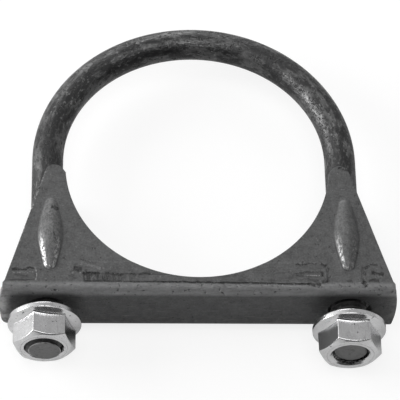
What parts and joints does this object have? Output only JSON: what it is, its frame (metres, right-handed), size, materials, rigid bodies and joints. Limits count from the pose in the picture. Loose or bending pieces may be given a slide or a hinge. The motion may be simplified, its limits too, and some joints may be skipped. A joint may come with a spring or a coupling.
{
  "type": "exhaust clamp",
  "caption": "Exhaust pipe clamp: a bent steel rod with threaded legs, a folded sheet-steel saddle with pressed beads, and zinc-plated flange nuts.",
  "frame": {"origin": "centre of the saddle's pipe seat, midway between its two side walls", "axes": "+Z along the pipe's axis, up as the clamp lies on its side; +Y from the seat to the rod's loop; +X across the clamp, so the nuts point along -Y"},
  "size_m": [0.1032, 0.1037, 0.0222],
  "materials": {
    "rod_steel": "bare hot-rolled steel with dark mill scale, scuffed at the bends",
    "sheet_steel": "bare dark sheet steel, matt, with press marks and burnished beads",
    "zinc_plate": "bright zinc plating, smooth, lightly scratched"
  },
  "bodies": {
    "u_bolt": {"u_bolt": "rod_steel"},
    "saddle": {"saddle": "sheet_steel"},
    "nut_left": {"nut_left": "zinc_plate"},
    "nut_right": {"nut_right": "zinc_plate"}
  },
  "joints": [
    {"name": "saddle_slide", "type": "slide", "parent": "u_bolt", "child": "saddle", "axis": [0, 1, 0], "range_m": [-0.00436, 0.02778]},
    {"name": "nut_left_spin", "type": "hinge", "parent": "saddle", "child": "nut_left", "pos_m": [-0.03988, -0.0465, 0], "axis": [0, 1, 0], "range_deg": [-990, 6300]},
    {"name": "nut_right_spin", "type": "hinge", "parent": "saddle", "child": "nut_right", "pos_m": [0.03902, -0.0482, 0], "axis": [0, 1, 0], "range_deg": [-990, 6300]}
  ],
  "couplings": [
    {"joint": "nut_left_spin", "follows": "saddle_slide", "rad_per_m": 3957.9},
    {"joint": "nut_right_spin", "follows": "saddle_slide", "rad_per_m": 3957.9}
  ]
}
